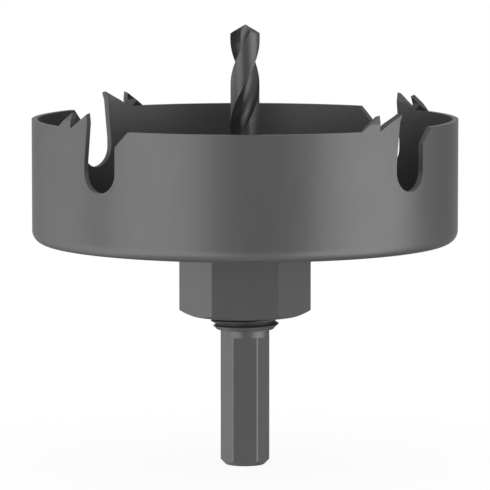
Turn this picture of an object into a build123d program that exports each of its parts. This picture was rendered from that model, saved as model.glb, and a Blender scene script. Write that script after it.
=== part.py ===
from build123d import *
import os
from math import asin, atan2, cos, degrees, radians, sin, sqrt, tan

# Hole saw for a 95 mm hole, in millimetres. The origin is the centre of the shank's end face, +Z runs up the
# axis to the drill's point, and the tool cuts turning about +Z. Heights in z are worked out from that end.

# Saw cup: one drawn sheet, with its slots and teeth cut in the wall
CUP_D = 94.0  # outside of the wall; the set teeth cut 95
CUP_H = 27.25  # underside of the base to the rim
SHEET = 1.25
CORNER_R = 2.8  # outside of the drawn corner
GROUP_TURNS = (-41.1, 45.6, 137.4, 228.5)  # the slots' centre lines, in degrees from +X, unevenly spaced
SLOT_W = 8.85
SLOT_DEPTH = 13.45  # rim to the round bottom of the slot
SLOT_BEVEL = 3.4  # the cut corner at the rim, ahead of the teeth
TOOTH_H = 3.5  # tip above the rim, before it is bent
TOOTH_TIP = 3.3  # leading tip behind the slot's centre line
TOOTH_PITCH = 5.55
TOOTH_RAKE = 6.0  # forward lean of the cutting face, degrees
TOOTH_BACK = 31.0  # slope of the back, degrees
TOOTH_SET = 0.5  # sideways bend of the tip
SET_H = 1.95  # height of the bent part, down from the tip

# Arbor: turned from one bar, with the shank's six flats milled
SHANK_AF = 9.525  # 3/8 in across flats
SHANK_FLATS = 28.6  # length of the flats from the end
NECK_D = 10.8  # the round bar that the flats are milled in
END_BEVEL = 1.1
NECK_H = 1.7  # round neck between the flats and the thread
THREAD_D = 15.15  # over the crests
THREAD_BEVEL = 1.55  # cone that the thread starts on
THREAD_SHOWS = 1.52  # thread that shows between its cone and the nut
HEAD_D = 24.0
HEAD_H = 8.0
HEAD_BEVEL = 0.8
DRILL_SEAT = 13.5  # cup underside down to the flat bottom of the drill's bore

# Nut that clamps the base against the head
NUT_AF = 25.2
NUT_H = 16.23
NUT_BEVEL = 22.0  # slope of its lower corner bevels, degrees
NUT_FACE_R = 12.2  # flat ring left inside them
NUT_SINK = 0.6  # countersink of its thread

# Pilot drill
DRILL_D = 6.5
DRILL_REACH = 20.65  # chisel edge above the rim
POINT_ANGLE = 118.0
RELIEF = 12.0  # lip relief of the ground flanks, degrees
HELIX_PITCH = 38.5  # 28 degree helix
WEB = 1.0
FLUTE_ANGLE = 92.0  # how much of the circle it opens, from lip corner to heel
MARGIN_W = 0.65
LAND_CLEAR = 0.05  # radial relief of the land behind the margin
FACE_FOOT = 1.0  # radius where the face under the lip meets the flute's floor
FLOOR_R = 1.28  # the floor's arc passes this far from the axis
FLOOR_TURN = 103.0  # and does so at this angle from the lip's direction
LIP_TURN = 4.0  # lips, in degrees from +X
PLAIN_SHANK = 11.0  # round stretch above the arbor's head
FLUTE_RUNOUT = 4.5  # cone in which the flutes come up to the round shank

# Set screw, M5 with a hexagon socket
SCREW_D = 5.0
SCREW_SINK = 0.8  # below the head's rim
SCREW_POINT = 0.9  # bevel of its end
SOCKET_AF = 2.5
SOCKET_DEPTH = 2.5
FLAT_DEPTH = 0.5  # the drill's flat, where the screw bears
FLAT_LENGTH = 8.0

# Clearances, on the radius
THREAD_FIT = 0.05
BORE_FIT = 0.03
BASE_HOLE_FIT = 0.25

# Heights that follow
THREAD_Z = SHANK_FLATS + NECK_H
NUT_Z = THREAD_Z + THREAD_BEVEL + THREAD_SHOWS
BASE_Z = NUT_Z + NUT_H
RIM_Z = BASE_Z + CUP_H
BEND_Z = RIM_Z + TOOTH_H - SET_H
HEAD_Z = BASE_Z + SHEET
HEAD_TOP = HEAD_Z + HEAD_H
SEAT_Z = BASE_Z - DRILL_SEAT
FLUTE_Z = HEAD_TOP + PLAIN_SHANK
TIP_Z = RIM_Z + DRILL_REACH
SCREW_Z = HEAD_Z + HEAD_H / 2

# Lengths that follow
CUP_R = CUP_D / 2
DRILL_R = DRILL_D / 2
THREAD_R = THREAD_D / 2
HEAD_R = HEAD_D / 2
FLAT_Y = DRILL_R - FLAT_DEPTH
LIP_REACH = sqrt(DRILL_R**2 - (WEB / 2) ** 2)  # along a lip, from the drill's axis to its outer corner
LIP_CORNER = degrees(asin(WEB / 2 / DRILL_R))  # where that corner stands, from the lips' direction
MARK = 1.0  # how far a cutting shape runs past what it cuts


def turned(points):
    """A solid of revolution about Z from (radius, height) points."""
    face = make_face(Polyline(*points, close=True))
    return revolve(Plane.XZ * face, Axis.Z)


def hex_bar(across_flats, low, high):
    """An upright hexagon bar with its corners on +X and -X, so that it shows a flat to the front."""
    sketch = RegularPolygon(across_flats / 2, 6, major_radius=False)
    corner = degrees(atan2(sketch.vertices()[0].Y, sketch.vertices()[0].X))
    return extrude(Pos(0, 0, low) * Rot(0, 0, -corner) * sketch, high - low)


def around(shape):
    """One copy of the shape, made at +X, for each group of teeth."""
    return [Rot(0, 0, turn) * shape for turn in GROUP_TURNS]


def through_wall(outline):
    """A prism that takes an outline, drawn on the rim at +X, radially through the wall and the set teeth."""
    start = CUP_R - SHEET - TOOTH_SET - MARK
    plane = Plane(origin=(start, 0, RIM_Z), x_dir=(0, 1, 0), z_dir=(1, 0, 0))
    return extrude(plane * outline, SHEET + 2 * (TOOTH_SET + MARK))


def tooth_outline(tip, ahead=0.0):
    """One tooth, rooted in the wall, with its hooked face carried ahead where another cut is to make it."""
    slope = tan(radians(TOOTH_BACK))
    foot = tip - TOOTH_H / slope
    root = tip - (TOOTH_H + MARK) * tan(radians(TOOTH_RAKE))
    face = ((tip + ahead, TOOTH_H + ahead * slope), (root + ahead, -MARK))
    return make_face(Polyline(*face, (foot, -MARK), (foot, 0), close=True))


def slot_outline():
    """The slot: round bottom, straight sides, the leading tooth's face on one side, a bevel on the other."""
    half = SLOT_W / 2
    centre = half - SLOT_DEPTH
    tip = -TOOTH_TIP
    hook = max(TOOTH_H - (half + tip) / tan(radians(TOOTH_RAKE)), centre)
    top = TOOTH_H + MARK
    side = Polyline(
        (half, centre), (half, -SLOT_BEVEL), (half + SLOT_BEVEL, 0), (half + SLOT_BEVEL, top), (tip, top),
        (tip, TOOTH_H), (-half, hook), (-half, centre),
    )
    bottom = ThreePointArc((-half, centre), (0, -SLOT_DEPTH), (half, centre))
    return make_face([side, bottom])


def set_wall(lean):
    """The wall's ring carried up to the tips, its top part bent out (lean above zero) or in."""
    low, high = RIM_Z - MARK, BEND_Z + SET_H + MARK
    shift = lean * (SET_H + MARK) / SET_H
    inner = CUP_R - SHEET
    return turned([
        (inner, low), (CUP_R, low), (CUP_R, BEND_Z), (CUP_R + shift, high), (inner + shift, high),
        (inner, BEND_Z),
    ])


def set_teeth(outline, lean):
    """One tooth for each group. It was cut square to the sheet, so its back tips with the bend."""
    bend = Pos(CUP_R - SHEET / 2, 0, BEND_Z)
    tipped = bend * Rot(0, degrees(atan2(lean, SET_H)), 0) * bend.inverse() * through_wall(outline)
    wall = set_wall(lean)
    return [wall & tooth for tooth in around(tipped)]


def saw_cup():
    """The cup with its teeth. Inside, the drawn corner is one flat that touches the round it stands for."""
    hole = THREAD_R + BASE_HOLE_FIT
    section = make_face(Polyline(
        (hole, BASE_Z), (CUP_R, BASE_Z), (CUP_R, RIM_Z), (CUP_R - SHEET, RIM_Z), (CUP_R - SHEET, HEAD_Z),
        (hole, HEAD_Z), close=True,
    ))
    outside = section.vertices().sort_by_distance((CUP_R, BASE_Z))[0]
    section = fillet(outside, CORNER_R)
    inside = section.vertices().sort_by_distance((CUP_R - SHEET, HEAD_Z))[0]
    section = chamfer(inside, (2 - sqrt(2)) * max(CORNER_R - SHEET, SHEET / 4))
    cup = revolve(Plane.XZ * section, Axis.Z)
    cup += set_teeth(tooth_outline(-TOOTH_TIP, MARK), TOOTH_SET)
    cup += set_teeth(tooth_outline(-TOOTH_TIP - TOOTH_PITCH), -TOOTH_SET)
    return cup - around(through_wall(slot_outline()))


def screw_bore(radius):
    """A cylinder on the set screw's axis, from the drill out to past the head."""
    plane = Plane(origin=(0, 0, SCREW_Z), x_dir=(1, 0, 0), z_dir=(0, 1, 0))
    return extrude(plane * Circle(radius), HEAD_R + MARK)


def arbor():
    neck = NECK_D / 2
    bar = turned([
        (0, 0), (neck - END_BEVEL, 0), (neck, END_BEVEL), (neck, THREAD_Z),
        (THREAD_R - THREAD_BEVEL, THREAD_Z), (THREAD_R, THREAD_Z + THREAD_BEVEL), (THREAD_R, HEAD_Z),
        (HEAD_R, HEAD_Z), (HEAD_R, HEAD_TOP - HEAD_BEVEL), (HEAD_R - HEAD_BEVEL, HEAD_TOP), (0, HEAD_TOP),
    ])
    chips = Cylinder(NECK_D, SHANK_FLATS, align=(Align.CENTER, Align.CENTER, Align.MIN))
    bar -= chips - hex_bar(SHANK_AF, 0, SHANK_FLATS)
    bore = Cylinder(DRILL_R + BORE_FIT, HEAD_TOP - SEAT_Z, align=(Align.CENTER, Align.CENTER, Align.MIN))
    return bar - Pos(0, 0, SEAT_Z) * bore - screw_bore(SCREW_D / 2 + THREAD_FIT)


def hex_nut():
    corner = NUT_AF / sqrt(3)
    bevel = (corner - NUT_FACE_R) * tan(radians(NUT_BEVEL))
    blank = turned([
        (0, NUT_Z), (NUT_FACE_R, NUT_Z), (corner, NUT_Z + bevel), (corner, BASE_Z), (0, BASE_Z),
    ])
    hole = THREAD_R + THREAD_FIT
    thread = turned([
        (0, NUT_Z - MARK), (hole + NUT_SINK + MARK, NUT_Z - MARK), (hole, NUT_Z + NUT_SINK),
        (hole, BASE_Z + MARK), (0, BASE_Z + MARK),
    ])
    return (blank & hex_bar(NUT_AF, NUT_Z, BASE_Z)) - thread


def polar(radius, angle):
    return (radius * cos(radians(angle)), radius * sin(radians(angle)))


def lip_point(radius):
    """Where the flute's face has this radius, in the section through the lips' outer corners.

    The ground point is to leave a straight lip: a point of it further in lies higher up, and the helix turns
    it back by its height.
    """
    along = sqrt(radius**2 - (WEB / 2) ** 2)
    height = (LIP_REACH - along) / tan(radians(POINT_ANGLE / 2))
    return polar(radius, degrees(asin(WEB / 2 / radius)) - 360 * height / HELIX_PITCH)


def flute_half():
    """Half of the section: past the bar's land, in along a lip's face, then round a flute's floor."""
    heel = LIP_CORNER + FLUTE_ANGLE
    lip, foot = Vector(*lip_point(DRILL_R)), Vector(*lip_point(FACE_FOOT))
    past_lip = lip + (lip - foot).normalized() * MARK
    past_heel = DRILL_R + LAND_CLEAR
    outside = Polyline(
        polar(past_heel, heel - 180), polar(DRILL_D, heel - 180), polar(DRILL_D, LIP_CORNER), past_lip,
    )
    floor = ThreePointArc(foot, polar(FLOOR_R, FLOOR_TURN), polar(past_heel, heel))
    return [outside, Line(past_lip, foot), floor]


def margin_outline():
    """The narrow guiding strip behind the lip. It runs on into the flute, whose cut trims it."""
    width = degrees(MARGIN_W / DRILL_R)
    back, ahead = LIP_CORNER - width, LIP_CORNER + width
    low, high = DRILL_R - 2 * LAND_CLEAR, DRILL_R + MARK
    corners = [polar(low, back), polar(high, back), polar(high, ahead), polar(low, ahead)]
    return make_face(Polyline(*corners, close=True))


def blank(radius):
    """Round bar for the fluted part. Its seam is turned to where no margin starts."""
    bar = Cylinder(radius, TIP_Z - FLUTE_Z, align=(Align.CENTER, Align.CENTER, Align.MIN))
    return Pos(0, 0, FLUTE_Z) * Rot(0, 0, 90) * bar


def twisted(outline, corner_z):
    """An outline, drawn at the lips' outer corners, carried along the drill's helix up past the point."""
    length = TIP_Z + MARK - FLUTE_Z
    turn = LIP_TURN - 360 * (corner_z - FLUTE_Z) / HELIX_PITCH
    foot = Pos(0, 0, FLUTE_Z) * Rot(0, 0, turn) * outline
    return Solid.extrude_linear_with_rotation(
        foot.face(), (0, 0, FLUTE_Z), (0, 0, length), 360 * length / HELIX_PITCH,
    )


def ground_point():
    """The body under both ground flanks, which meet in the chisel edge: a ridge roof, sloping either way."""
    fall = 1 / tan(radians(POINT_ANGLE / 2))
    slope = sqrt(fall**2 + tan(radians(RELIEF)) ** 2)
    ridge_turn = LIP_TURN - degrees(atan2(tan(radians(RELIEF)), fall))
    across = polar(1, ridge_turn)
    plane = Plane(origin=(0, 0, TIP_Z), x_dir=(*across, 0), z_dir=(across[1], -across[0], 0))
    side = 2 * DRILL_D
    roof = make_face(Polyline(
        (0, 0), (side, -slope * side), (side, SEAT_Z - TIP_Z), (-side, SEAT_Z - TIP_Z),
        (-side, -slope * side), close=True,
    ))
    return extrude(plane * roof, side, both=True)


def pilot_drill():
    corner_z = TIP_Z - LIP_REACH / tan(radians(POINT_ANGLE / 2)) + WEB / 2 * tan(radians(RELIEF))
    margin = margin_outline()
    fluted = blank(DRILL_R - LAND_CLEAR)
    fluted += [blank(DRILL_R) & twisted(Rot(0, 0, turn) * margin, corner_z) for turn in (0, 180)]
    half = flute_half()
    section = make_face(half + [Rot(0, 0, 180) * edge for edge in half])
    fluted = fluted & twisted(section, corner_z) & ground_point()
    shank = turned([
        (0, SEAT_Z), (DRILL_R, SEAT_Z), (DRILL_R, FLUTE_Z), (WEB / 2, FLUTE_Z + FLUTE_RUNOUT),
        (0, FLUTE_Z + FLUTE_RUNOUT),
    ])
    flat = Box(DRILL_D, DRILL_R, FLAT_LENGTH, align=(Align.CENTER, Align.MIN, Align.CENTER))
    return fluted + (shank - Pos(0, FLAT_Y, SCREW_Z) * flat)


def set_screw():
    end = HEAD_R - SCREW_SINK
    radius = SCREW_D / 2
    body = turned([
        (0, FLAT_Y), (radius - SCREW_POINT, FLAT_Y), (radius, FLAT_Y + SCREW_POINT), (radius, end), (0, end),
    ])
    body -= hex_bar(SOCKET_AF, end - SOCKET_DEPTH, end)
    return Pos(0, 0, SCREW_Z) * Rot(-90, 0, 0) * body


os.makedirs("parts", exist_ok=True)
for make in (saw_cup, arbor, hex_nut, pilot_drill, set_screw):
    export_step(make(), f"parts/{make.__name__}.step")
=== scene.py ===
# %% [markdown]
# # A hole saw, dressed in Blender
#
# A hole saw cuts a round plug out of wood or sheet metal. Its cup is one deep-drawn piece of steel with the
# teeth cut in its rim. A nut clamps the cup on the arbor, whose hexagon shank goes in the drill's chuck, and
# a twist drill in the middle keeps the cup in its place.
#
# The CAD model is loaded as a fixed frame of five pieces. Cup, nut, drill and set screw are shown as they
# are, with a finish. The arbor is modelled again here, because the CAD model leaves its thread out, and it
# takes its measures from the boxes of the CAD pieces where they tell them. Everything is in metres, and +Z
# is the tool's axis.

from math import cos, pi, radians, sin, sqrt, tan

import bmesh
import bpy
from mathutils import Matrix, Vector


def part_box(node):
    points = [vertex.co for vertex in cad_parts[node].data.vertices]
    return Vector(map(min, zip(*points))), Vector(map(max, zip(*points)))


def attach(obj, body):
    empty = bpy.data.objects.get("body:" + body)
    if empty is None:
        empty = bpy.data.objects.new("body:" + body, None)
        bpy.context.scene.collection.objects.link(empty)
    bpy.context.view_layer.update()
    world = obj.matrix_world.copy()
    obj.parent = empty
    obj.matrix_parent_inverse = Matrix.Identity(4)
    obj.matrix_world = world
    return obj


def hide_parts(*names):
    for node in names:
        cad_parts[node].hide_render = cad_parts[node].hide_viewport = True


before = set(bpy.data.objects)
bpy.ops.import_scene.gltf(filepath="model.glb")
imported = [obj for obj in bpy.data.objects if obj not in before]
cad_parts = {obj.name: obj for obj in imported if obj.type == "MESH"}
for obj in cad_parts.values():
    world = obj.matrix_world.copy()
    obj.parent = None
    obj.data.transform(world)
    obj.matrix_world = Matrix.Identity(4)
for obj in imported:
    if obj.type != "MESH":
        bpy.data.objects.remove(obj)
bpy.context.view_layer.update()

# %% [markdown]
# A few helpers come first. Colours are written as sRGB hex values, as a painter reads them off a screen, and
# the shader works in linear light, so one function turns them over. Another adds a node with its settings
# and links, which keeps each material short enough to read.

# %% Units and colour
MM = 0.001


def linear(hex_colour):
    """An sRGB hex colour as the linear RGBA that the shader works in."""
    shares = [int(hex_colour[i:i + 2], 16) / 255 for i in (1, 3, 5)]
    return [*(s / 12.92 if s <= 0.04045 else ((s + 0.055) / 1.055) ** 2.4 for s in shares), 1.0]


def add_node(tree, kind, settings=None, inputs=None):
    """A node of this kind. An input is a value, or another node's output socket that is linked to it."""
    node = tree.nodes.new(kind)
    for name, value in (settings or {}).items():
        setattr(node, name, value)
    for name, value in (inputs or {}).items():
        if isinstance(value, bpy.types.NodeSocket):
            tree.links.new(value, node.inputs[name])
        else:
            node.inputs[name].default_value = value
    return node


print("a mid grey, linear:", [round(v, 3) for v in linear("#808080")])

# %% [markdown]
# The camera stands where the photographer's did: about a metre away on a long lens, a little above the rim,
# so that the rim opens into a flat ellipse and the verticals stay nearly parallel. The picture is square.

# %% Camera
SENSOR = 36.0  # this and the lens in millimetres, as on a real camera
LENS = 329.7
PITCH = 5.971  # degrees below the horizon
CAMERA_PLACE = (0.0, -0.98660, 0.15197)

eye = bpy.data.cameras.new("camera")
eye.sensor_width = SENSOR
eye.lens = LENS
camera = bpy.data.objects.new("camera", eye)
camera.location = CAMERA_PLACE
camera.rotation_euler = (radians(90 - PITCH), 0, 0)
bpy.context.scene.collection.objects.link(camera)
bpy.context.scene.camera = camera
bpy.context.scene.view_settings.view_transform = "Standard"
print("camera on a", LENS, "mm lens,", round(-CAMERA_PLACE[1], 3), "m in front of the axis")

# %% [markdown]
# ## The studio
#
# Dark satin steel has hardly any colour of its own, so what the eye sees is the room mirrored in it. A photo
# studio is white close to the object and darker further off. So the world is white for the camera, but in
# reflections it dims a little overhead, more at the end of the room behind the camera, and most low down
# behind the saw, beyond the white sheet that it stands on. The light that falls on the saw from all round is
# one even, lower level, so that the steel keeps the grey it is given.
#
# A world shader knows only the direction of a ray, so each part of the room is a range of directions: Z is
# the sine of the elevation, and -Y is the cosine of the angle from the camera's end of the room.

# %% Levels of the room
SEEN_WHITE = 1.0
DIM_SKY = 0.8  # overhead
SKY_FADE = (0.0, 0.55)  # sine of the elevation where the dimming starts, and where it is full
DIM_END = 0.7  # the end of the room behind the camera
END_FADE = (0.8, 0.95)  # cosine of the angle from that end, likewise
DIM_GROUND = 0.45  # the ground beyond the sheet's rear edge
GROUND_FADE = (1.05, 1.38)  # Y less Z, likewise; it is 1.41 for a look 45 degrees down and straight behind
AMBIENT = 0.8  # the even light on the saw
print("room: white", SEEN_WHITE, "overhead", DIM_SKY, "end", DIM_END, "ground", DIM_GROUND)

# %% The room in reflections
world = bpy.data.worlds.new("white_studio")
bpy.context.scene.world = world
world.use_nodes = True
tree = world.node_tree
tree.nodes.clear()
looking = add_node(tree, "ShaderNodeTexCoord").outputs["Generated"]
look = add_node(tree, "ShaderNodeSeparateXYZ", inputs={0: looking})
to_end = add_node(tree, "ShaderNodeMath", {"operation": "MULTIPLY"}, {0: look.outputs["Y"], 1: -1.0})
low_behind = add_node(tree, "ShaderNodeMath", {"operation": "SUBTRACT"},
                      {0: look.outputs["Y"], 1: look.outputs["Z"]})
room = SEEN_WHITE
for where, fade, dim in [
    (look.outputs["Z"], SKY_FADE, DIM_SKY),
    (to_end.outputs[0], END_FADE, DIM_END),
    (low_behind.outputs[0], GROUND_FADE, DIM_GROUND),
]:
    part = add_node(tree, "ShaderNodeMapRange", {"interpolation_type": "SMOOTHSTEP"}, {
        "Value": where, "From Min": fade[0], "From Max": fade[1], "To Min": 1.0, "To Max": dim})
    product = add_node(tree, "ShaderNodeMath", {"operation": "MULTIPLY"}, {0: room, 1: part.outputs[0]})
    room = product.outputs[0]
print("room:", len(tree.nodes), "nodes")

# %% World
path = add_node(tree, "ShaderNodeLightPath")
is_camera = path.outputs["Is Camera Ray"]
seen_level = add_node(tree, "ShaderNodeMath", {"operation": "MAXIMUM"}, {0: is_camera, 1: room})
is_seen = is_camera
for kind in ("Is Glossy Ray", "Is Transmission Ray"):
    either = add_node(tree, "ShaderNodeMath", {"operation": "MAXIMUM"}, {0: is_seen, 1: path.outputs[kind]})
    is_seen = either.outputs[0]
white = linear("#ffffff")
seen = add_node(tree, "ShaderNodeBackground", inputs={"Color": white, "Strength": seen_level.outputs[0]})
light = add_node(tree, "ShaderNodeBackground", inputs={"Color": white, "Strength": AMBIENT})
both = add_node(tree, "ShaderNodeMixShader", inputs={0: is_seen, 1: light.outputs[0], 2: seen.outputs[0]})
add_node(tree, "ShaderNodeOutputWorld", inputs={"Surface": both.outputs[0]})
print("world lights the saw at", AMBIENT)

# %% [markdown]
# Three tall soft boxes face the saw: one on the left, one on the right, and one on the left behind it. The
# cup mirrors each as a broad upright band, and the gap between the two in front leaves the dark band down
# its middle. They hang low, partly under the floor's level, as they would beside a table, and the floor lets
# their light pass. A box is set by the brightness of its face, so that its size can change and the grey that
# is mirrored stays.

# %% Lamps
BOX_REACH = 1.3  # from the saw's middle
BOX_RISE = -22  # degrees; below zero is below the saw's middle
BOX_HEIGHT = 1.9
WATTS = 4  # for each square metre of a face of brightness 1


def soft_box(name, azimuth, width, brightness):
    """A box of light that faces the saw. Azimuth 0 is the camera's side, positive to its right."""
    lamp = bpy.data.lights.new(name, "AREA")
    lamp.shape = "RECTANGLE"
    lamp.size, lamp.size_y = width, BOX_HEIGHT
    lamp.energy = WATTS * brightness * width * BOX_HEIGHT
    turn, rise = radians(azimuth), radians(BOX_RISE)
    outwards = Vector((cos(rise) * sin(turn), -cos(rise) * cos(turn), sin(rise)))
    box = bpy.data.objects.new(name, lamp)
    box.location = Vector((0, 0, CAMERA_PLACE[2] / 2)) + BOX_REACH * outwards
    box.rotation_euler = (radians(90) - rise, 0, turn)
    box.visible_camera = False
    bpy.context.scene.collection.objects.link(box)
    print(name, "at", azimuth, "degrees, brightness", brightness)


soft_box("left_box", -48, 1.45, 1.5)
soft_box("rear_left_box", -117, 1.4, 1.15)
soft_box("right_box", 70, 1.5, 1.8)

# %% [markdown]
# The floor is a plain sheet of paper. To the camera most of it is a glow a little under white, and its own
# shading is added to that, so that it comes out white and keeps a faint shadow where the shank stands. To
# every other ray it is ordinary paper. It isn't mirrored, and it stops no light.

# %% Floor
FLOOR_SIDE = 8.0
PAPER = "#f4f4f4"
SHADING_SHARE = 0.14  # how much of the seen white is the sheet's own shading
GLOW = 1 - SHADING_SHARE * AMBIENT

bpy.ops.object.select_all(action="DESELECT")
bpy.ops.mesh.primitive_plane_add(size=FLOOR_SIDE, location=(0, 0, 0))
floor = bpy.context.object
floor.name = "floor"
paper = bpy.data.materials.new("white_paper")
paper.use_nodes = True
tree = paper.node_tree
tree.nodes.clear()
sheet = add_node(tree, "ShaderNodeBsdfDiffuse", inputs={"Color": linear(PAPER)})
shading = add_node(tree, "ShaderNodeBsdfDiffuse", inputs={"Color": [SHADING_SHARE] * 3 + [1.0]})
glow = add_node(tree, "ShaderNodeEmission", inputs={"Color": white, "Strength": GLOW})
seen = add_node(tree, "ShaderNodeAddShader", inputs={0: glow.outputs[0], 1: shading.outputs[0]})
path = add_node(tree, "ShaderNodeLightPath")
both = add_node(tree, "ShaderNodeMixShader",
                inputs={0: path.outputs["Is Camera Ray"], 1: sheet.outputs[0], 2: seen.outputs[0]})
add_node(tree, "ShaderNodeOutputMaterial", inputs={"Surface": both.outputs[0]})
floor.data.materials.append(paper)
floor.visible_glossy = False
floor.visible_shadow = False
print("floor", FLOOR_SIDE, "m wide")

# %% [markdown]
# ## The arbor
#
# The arbor is one turned bar. Its lower end has six milled flats for the chuck, a short round neck follows,
# and then a 5/8 in thread with 18 turns to the inch, on which the nut runs up. Its head lies on the cup's
# base. It is made in the workshop's order: first the bar as turned, ring by ring, then the flats, the thread
# and the bores, each cut with a tool of its own. A cut with one helical tool gives the thread its run-out on
# the cone, as a threading die does on the real one.

# %% Arbor sizes
low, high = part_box("arbor")
HEAD_TOP = high.z
HEAD_R = high.x
HEAD_BEVEL = 0.8 * MM
CUP_SHEET = 1.25 * MM  # the head lies on the cup's base
HEAD_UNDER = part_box("saw_cup")[0].z + CUP_SHEET
NECK_R = 5.4 * MM
END_BEVEL = 1.1 * MM
FLATS_TOP = 28.6 * MM
ACROSS_FLATS = 9.525 * MM  # 3/8 in
NECK_TOP = 30.2 * MM
CREST_R = 7.575 * MM
CONE_FOOT_R = 6.3 * MM  # the thread starts on a 45 degree cone
print("arbor", round(HEAD_TOP / MM, 2), "mm long, head", round(2 * HEAD_R / MM, 2), "mm across")

# %% Turned bar
ROUND_SIDES = 96


def turned_bar(name, rings):
    """A closed turned piece: a disc at its lower end, carried up and scaled from ring to ring."""
    bpy.ops.object.select_all(action="DESELECT")
    radius, z = rings[0]
    bpy.ops.mesh.primitive_circle_add(vertices=ROUND_SIDES, radius=radius, fill_type="NGON",
                                      location=(0, 0, z))
    piece = bpy.context.object
    piece.name = piece.data.name = name
    bpy.ops.object.transform_apply(location=True, rotation=True, scale=True)
    bpy.ops.object.mode_set(mode="EDIT")
    for next_radius, next_z in rings[1:]:
        bpy.ops.mesh.extrude_region_move(TRANSFORM_OT_translate={"value": (0, 0, next_z - z)})
        growth = next_radius / radius
        bpy.ops.transform.resize(value=(growth, growth, 1), center_override=(0, 0, next_z))
        radius, z = next_radius, next_z
    bpy.ops.mesh.select_all(action="SELECT")
    bpy.ops.mesh.normals_make_consistent(inside=False)
    bpy.ops.object.mode_set(mode="OBJECT")
    return piece


arbor = turned_bar("threaded_arbor", [
    (NECK_R - END_BEVEL, 0), (NECK_R, END_BEVEL), (NECK_R, NECK_TOP), (CONE_FOOT_R, NECK_TOP),
    (CREST_R, NECK_TOP + CREST_R - CONE_FOOT_R), (CREST_R, HEAD_UNDER),
    (HEAD_R, HEAD_UNDER), (HEAD_R, HEAD_TOP - HEAD_BEVEL), (HEAD_R - HEAD_BEVEL, HEAD_TOP),
])
print("bar:", len(arbor.data.polygons), "faces")

# %% [markdown]
# What the workshop mills, threads and drills away is taken off with the Boolean modifier: a tool is modelled
# and its shape is subtracted. Where the tool's facets all but touch the bar's, the cut leaves slivers, so
# points within a micrometre of each other are merged after it. A closed piece has a face on either side of
# each edge, so the number of edges that don't is printed after each cut.

# %% Cutting
WELD = 0.001 * MM
SLIVER = 0.0005 * MM


def open_edges(piece):
    """How many edges of the piece's mesh don't have a face on either side."""
    shape = bmesh.new()
    shape.from_mesh(piece.data)
    count = sum(not edge.is_manifold for edge in shape.edges)
    shape.free()
    return count


def cut(piece, tool):
    """Takes the tool's shape out of the piece, and the tool away. Slivers that the cut leaves are merged."""
    bpy.ops.object.select_all(action="DESELECT")
    bpy.context.view_layer.objects.active = piece
    piece.select_set(True)
    modifier = piece.modifiers.new("cut", "BOOLEAN")
    modifier.operation = "DIFFERENCE"
    modifier.solver = "EXACT"
    modifier.object = tool
    bpy.ops.object.modifier_apply(modifier=modifier.name)
    bpy.data.objects.remove(tool)
    bpy.ops.object.mode_set(mode="EDIT")
    bpy.ops.mesh.select_all(action="SELECT")
    bpy.ops.mesh.remove_doubles(threshold=WELD)
    bpy.ops.mesh.dissolve_degenerate(threshold=SLIVER)
    bpy.ops.object.mode_set(mode="OBJECT")
    print("cut:", len(piece.data.polygons), "faces, open edges", open_edges(piece))


print("uncut bar: open edges", open_edges(arbor))

# %% [markdown]
# The flats are milled with a tool shaped like a ring with a hexagon hole: a hexagon of edges is turned, since
# the primitive has a corner where a flat belongs, grown outwards to a band, and raised along the shank.

# %% Milled flats
OVER = 1 * MM  # how far a tool reaches past what it cuts
MILL_GROWTH = 2  # the ring's outside, as a multiple of its hole

bpy.ops.object.select_all(action="DESELECT")
bpy.ops.mesh.primitive_circle_add(vertices=6, radius=ACROSS_FLATS / sqrt(3), location=(0, 0, -OVER))
mill = bpy.context.object
bpy.ops.object.transform_apply(location=True, rotation=True, scale=True)
bpy.ops.object.mode_set(mode="EDIT")
bpy.ops.transform.rotate(value=radians(30), orient_axis="Z", center_override=(0, 0, 0))
bpy.ops.mesh.extrude_region_move()
bpy.ops.transform.resize(value=(MILL_GROWTH, MILL_GROWTH, 1), center_override=(0, 0, -OVER))
bpy.ops.mesh.select_all(action="SELECT")
bpy.ops.mesh.extrude_region_move(TRANSFORM_OT_translate={"value": (0, 0, FLATS_TOP + OVER)})
bpy.ops.mesh.select_all(action="SELECT")
bpy.ops.mesh.normals_make_consistent(inside=False)
bpy.ops.object.mode_set(mode="OBJECT")
cut(arbor, mill)

# %% [markdown]
# The thread's tool has the shape of the groove, a 60 degree V whose tip is a narrow flat. A plane stands
# upright on +X for its section, and the inner edge is scaled down to that flat. Only the outline is kept,
# since the sweep that follows makes the groove's sides from it.

# %% Groove section
THREAD_PITCH = 1.411 * MM  # 18 turns to the inch
FLANK = radians(30)  # half of the V
ROOT_R = 6.49 * MM
ROOT_FLAT = 0.06 * MM
GROOVE_OUT = 7.65 * MM  # just past the crests
GROOVE_MIDDLE = (ROOT_R + GROOVE_OUT) / 2
GROOVE_START = 29.184 * MM  # height of the groove at +X, where it is still in the air
MOUTH = ROOT_FLAT + 2 * (GROOVE_OUT - ROOT_R) * tan(FLANK)

bpy.ops.object.select_all(action="DESELECT")
bpy.ops.mesh.primitive_plane_add(size=1, location=(GROOVE_MIDDLE, 0, GROOVE_START), rotation=(pi / 2, 0, 0))
die = bpy.context.object
die.scale = (GROOVE_OUT - ROOT_R, MOUTH, 1)
bpy.ops.object.transform_apply(location=True, rotation=True, scale=True)
for vertex in die.data.vertices:
    vertex.select = vertex.co.x < GROOVE_MIDDLE
for edge in die.data.edges:
    edge.select = all(die.data.vertices[i].select for i in edge.vertices)
for face in die.data.polygons:
    face.select = False
bpy.ops.object.mode_set(mode="EDIT")
bpy.ops.transform.resize(value=(1, 1, ROOT_FLAT / MOUTH), center_override=(ROOT_R, 0, GROOVE_START))
bpy.ops.mesh.select_all(action="SELECT")
bpy.ops.mesh.delete(type="ONLY_FACE")
bpy.ops.object.mode_set(mode="OBJECT")
print("groove", round(MOUTH / MM, 3), "mm wide at its mouth,", len(die.data.edges), "edges")

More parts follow.
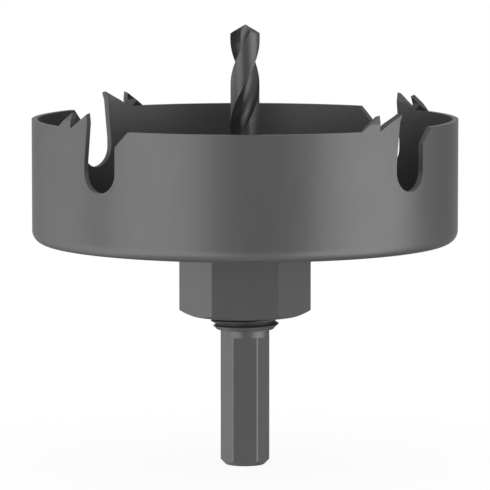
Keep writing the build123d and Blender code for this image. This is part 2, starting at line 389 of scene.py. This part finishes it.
# %% [markdown]
# The Screw modifier turns the outline round the axis and lifts it by one pitch a turn, which is a right-hand
# helix. The sweep has no ends, so both are filled, and the normals are made to point out of the tool.

# %% Groove along the helix
GROOVE_TURNS = 14
JOIN = 0.0001 * MM  # the sweep's turns share their points

screw = die.modifiers.new("helix", "SCREW")
screw.axis = "Z"
screw.angle = 2 * pi
screw.screw_offset = THREAD_PITCH
screw.iterations = GROOVE_TURNS
screw.steps = screw.render_steps = ROUND_SIDES
bpy.ops.object.modifier_apply(modifier=screw.name)
bpy.ops.object.mode_set(mode="EDIT")
bpy.ops.mesh.select_all(action="SELECT")
bpy.ops.mesh.remove_doubles(threshold=JOIN)
bpy.ops.mesh.select_all(action="DESELECT")
bpy.ops.mesh.select_mode(type="EDGE")
bpy.ops.mesh.select_non_manifold()
bpy.ops.mesh.fill_holes(sides=4)
bpy.ops.mesh.select_all(action="SELECT")
bpy.ops.mesh.normals_make_consistent(inside=False)
bpy.ops.object.mode_set(mode="OBJECT")
print("thread tool:", len(die.data.polygons), "faces, open edges", open_edges(die))
cut(arbor, die)

# %% [markdown]
# Last come the two bores: the deep one down the middle, in which the drill stands, and the small tapped one
# from the back of the head, where the set screw goes in to hold it. Each is its CAD piece's size and a
# little room.

# %% Bores
BORE_FIT = 0.03 * MM
SCREW_FIT = 0.05 * MM
BORE_SIDES = 64
SCREW_BORE_SIDES = 48

drill_low, drill_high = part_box("pilot_drill")
screw_low, screw_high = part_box("set_screw")
seat = drill_low.z
bpy.ops.object.select_all(action="DESELECT")
bpy.ops.mesh.primitive_cylinder_add(vertices=BORE_SIDES, radius=drill_high.x + BORE_FIT,
                                    depth=HEAD_TOP - seat + OVER, location=(0, 0, (HEAD_TOP + seat + OVER) / 2))
cut(arbor, bpy.context.object)
bpy.ops.object.select_all(action="DESELECT")
bpy.ops.mesh.primitive_cylinder_add(vertices=SCREW_BORE_SIDES, radius=screw_high.x + SCREW_FIT,
                                    depth=HEAD_R + OVER, rotation=(pi / 2, 0, 0),
                                    location=(0, (HEAD_R + OVER) / 2, (screw_low.z + screw_high.z) / 2))
cut(arbor, bpy.context.object)

# %% [markdown]
# Facets that meet at a small angle stand for a round, and are shaded as one. The flats, the bevels and the
# thread's crests meet at more than that, and stay sharp. Then the arbor takes the CAD arbor's place.

# %% Arbor in its place
SMOOTH_UNDER = 28  # degrees

bpy.ops.object.select_all(action="DESELECT")
bpy.context.view_layer.objects.active = arbor
arbor.select_set(True)
bpy.ops.object.shade_smooth_by_angle(angle=radians(SMOOTH_UNDER))
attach(arbor, "root")
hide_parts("arbor")
print("arbor:", len(arbor.data.polygons), "faces, open edges", open_edges(arbor))

# %% [markdown]
# ## The finishes
#
# Every piece is steel that was blackened after machining. Black oxide is a thin, dark, slightly rough skin on
# bright metal. It mirrors the studio softly, and a part of the light is scattered in the skin itself, so that
# the deep flutes don't go quite black. The shader is therefore mostly metal, with some plain dark surface
# mixed in. One function makes such a finish. What differs from piece to piece is the run of the marks that
# forming left under the skin, and their spacing.
#
# Real marks are about a tenth of a millimetre apart, and the oxide's own grain is finer still. A pixel of the
# picture is a fifth of a millimetre wide, so both are drawn several times as coarse as they are, to show at
# all, and with little contrast.

# %% Black oxide
SKIN = 0.7  # share of the surface that mirrors like metal; the rest is the scattering oxide
SKIN_GLOSS = 0.1  # the scattering oxide has hardly any gloss of its own
GRAZING_GREY = "#a4a4a4"  # seen edge-on the skin stays grey, where bare metal turns white
GRAIN_MM = 0.5
CLOUDS_MM = 14  # patches where the bath took a little more or a little less
TONE_SPREAD = 0.05  # how much darker or lighter the colour gets
TONE_NOISE = (0.6, 1.4)  # where most values of marks and clouds together lie
MATT_SPREAD = 0.03  # how far the roughness goes either way
GRAIN_NOISE = (0.3, 0.7)  # where most values of the grain lie
RELIEF = 0.25
RELIEF_MM = 0.002
print("black oxide: mirrors", SKIN, "and scatters", round(1 - SKIN, 2))


# %% Marks that run round
def round_the_axis(tree, place):
    """A place as its radius and height, so that a pattern on it runs in rings round the tool's axis."""
    axes = add_node(tree, "ShaderNodeSeparateXYZ", inputs={0: place})
    squares = [add_node(tree, "ShaderNodeMath", {"operation": "POWER"}, {0: axes.outputs[i], 1: 2.0})
               for i in (0, 1)]
    total = add_node(tree, "ShaderNodeMath", {"operation": "ADD"},
                     {0: squares[0].outputs[0], 1: squares[1].outputs[0]})
    radius = add_node(tree, "ShaderNodeMath", {"operation": "SQRT"}, {0: total.outputs[0]})
    rings = add_node(tree, "ShaderNodeCombineXYZ", inputs={0: radius.outputs[0], 2: axes.outputs[2]})
    return rings.outputs[0]


print("rings are drawn by radius and height")


# %% Blackened steel
def blackened(name, hex_colour, roughness, marks_mm, marks_run):
    """A blackened steel with fine marks. marks_run stretches them along x, y and z; "round" turns them."""
    material = bpy.data.materials.new(name)
    material.use_nodes = True
    tree = material.node_tree
    shader = tree.nodes["Principled BSDF"]
    shader.inputs["Metallic"].default_value = SKIN
    shader.inputs["Specular IOR Level"].default_value = SKIN_GLOSS
    shader.inputs["Specular Tint"].default_value = linear(GRAZING_GREY)

    place = add_node(tree, "ShaderNodeTexCoord").outputs["Object"]
    if marks_run == "round":
        lined = round_the_axis(tree, place)
    else:
        lined = add_node(tree, "ShaderNodeMapping", inputs={"Vector": place, "Scale": marks_run}).outputs[0]
    marks = add_node(tree, "ShaderNodeTexNoise", inputs={
        "Vector": lined, "Scale": 1 / (marks_mm * MM), "Detail": 3.0, "Roughness": 0.6})
    grain = add_node(tree, "ShaderNodeTexNoise", inputs={
        "Vector": place, "Scale": 1 / (GRAIN_MM * MM), "Detail": 4.0, "Roughness": 0.65})
    clouds = add_node(tree, "ShaderNodeTexNoise", inputs={
        "Vector": place, "Scale": 1 / (CLOUDS_MM * MM), "Detail": 3.0, "Roughness": 0.55})

    worn = add_node(tree, "ShaderNodeMath", {"operation": "ADD"},
                    {0: marks.outputs["Fac"], 1: clouds.outputs["Fac"]})
    share = add_node(tree, "ShaderNodeMapRange", inputs={
        "Value": worn.outputs[0], "From Min": TONE_NOISE[0], "From Max": TONE_NOISE[1]})
    steel = linear(hex_colour)[:3]
    tone = add_node(tree, "ShaderNodeMix", {"data_type": "RGBA"}, {
        "Factor": share.outputs[0],
        "A": [(1 - TONE_SPREAD) * c for c in steel] + [1.0],
        "B": [(1 + TONE_SPREAD) * c for c in steel] + [1.0]})
    tree.links.new(tone.outputs["Result"], shader.inputs["Base Color"])

    rough = add_node(tree, "ShaderNodeMapRange", inputs={
        "Value": grain.outputs["Fac"], "From Min": GRAIN_NOISE[0], "From Max": GRAIN_NOISE[1],
        "To Min": roughness - MATT_SPREAD, "To Max": roughness + MATT_SPREAD})
    tree.links.new(rough.outputs[0], shader.inputs["Roughness"])
    relief = add_node(tree, "ShaderNodeMath", {"operation": "ADD"},
                      {0: marks.outputs["Fac"], 1: grain.outputs["Fac"]})
    bump = add_node(tree, "ShaderNodeBump", inputs={
        "Height": relief.outputs[0], "Strength": RELIEF, "Distance": RELIEF_MM * MM})
    tree.links.new(bump.outputs["Normal"], shader.inputs["Normal"])
    return material


print("grain", GRAIN_MM, "mm and clouds", CLOUDS_MM, "mm wide under every finish")

# %% [markdown]
# The five finishes differ in the way the steel under the oxide was formed. The greys are nearly the same, and
# the small screw is the darkest. After the roughness come the spacing of the marks in millimetres and the way
# they run: a Z of 0.04 makes them 25 times as long as they are wide.

# %% Five steels
finishes = {
    # Sheet pressed through a die: faint upright streaks draw each highlight tall and soften its sides.
    "saw_cup": blackened("blackened_drawn_sheet", "#555555", 0.38, 0.6, (1, 1, 0.04)),
    # Bar turned on a lathe: the tool's fine rings spread a highlight along the bar.
    "threaded_arbor": blackened("blackened_turned_bar", "#555555", 0.38, 0.35, "round"),
    # Hexagon bar drawn cold: even, plain flats with long streaks, each flat one grey.
    "hex_nut": blackened("blackened_hexagon_bar", "#545454", 0.38, 0.5, (1, 1, 0.03)),
    # High-speed steel heated in steam after grinding: an even dark satin, also deep in the flutes.
    "pilot_drill": blackened("steam_treated_high_speed_steel", "#545454", 0.38, 0.3, (1, 1, 0.1)),
    # Hard screw steel from a bath of hot salts: darker and a little more matt.
    "set_screw": blackened("black_oxide_screw", "#404041", 0.40, 0.3, "round"),
}
print("finishes:", ", ".join(finish.name for finish in finishes.values()))

# %% [markdown]
# The rim, the slots and the teeth were punched and ground after the sheet was drawn. Their narrow faces are
# rougher than the drawn skin, so the oxide on them is more matt. They are found in the shader by two facts:
# they lie high on the wall, and they don't face away from the axis or towards it.

# %% Punched edges
PUNCHED_FROM = 60 * MM  # lowest height of a punched face, just under the slots
EDGEWISE = 0.6  # cosine of the angle from the radius, under which a face counts as an edge
MATT_SKIN = 0.45

tree = finishes["saw_cup"].node_tree
shader = tree.nodes["Principled BSDF"]
surface = add_node(tree, "ShaderNodeTexCoord")
place = surface.outputs["Object"]
across = add_node(tree, "ShaderNodeVectorMath", {"operation": "MULTIPLY"}, {0: place, 1: (1, 1, 0)})
radial = add_node(tree, "ShaderNodeVectorMath", {"operation": "NORMALIZE"}, {0: across.outputs[0]})
facing = add_node(tree, "ShaderNodeVectorMath", {"operation": "DOT_PRODUCT"},
                  {0: radial.outputs[0], 1: surface.outputs["Normal"]})
facing = add_node(tree, "ShaderNodeMath", {"operation": "ABSOLUTE"}, {0: facing.outputs["Value"]})
edgewise = add_node(tree, "ShaderNodeMath", {"operation": "LESS_THAN"}, {0: facing.outputs[0], 1: EDGEWISE})
height = add_node(tree, "ShaderNodeSeparateXYZ", inputs={0: place})
high_up = add_node(tree, "ShaderNodeMath", {"operation": "GREATER_THAN"},
                   {0: height.outputs["Z"], 1: PUNCHED_FROM})
punched = add_node(tree, "ShaderNodeMath", {"operation": "MULTIPLY"},
                   {0: edgewise.outputs[0], 1: high_up.outputs[0]})
skin = add_node(tree, "ShaderNodeMapRange",
                inputs={"Value": punched.outputs[0], "To Min": SKIN, "To Max": MATT_SKIN})
tree.links.new(skin.outputs[0], shader.inputs["Metallic"])
print("punched edges matt above", round(PUNCHED_FROM / MM), "mm")

# %% [markdown]
# Each piece takes its finish. The CAD arbor, which the threaded one replaces, takes the same one.

# %% Dress the pieces
for name, finish in finishes.items():
    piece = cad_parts.get(name) or bpy.data.objects[name]
    piece.data.materials.clear()
    piece.data.materials.append(finish)
    print(name, "in", finish.name)
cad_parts["arbor"].data.materials.clear()
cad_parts["arbor"].data.materials.append(finishes["threaded_arbor"])
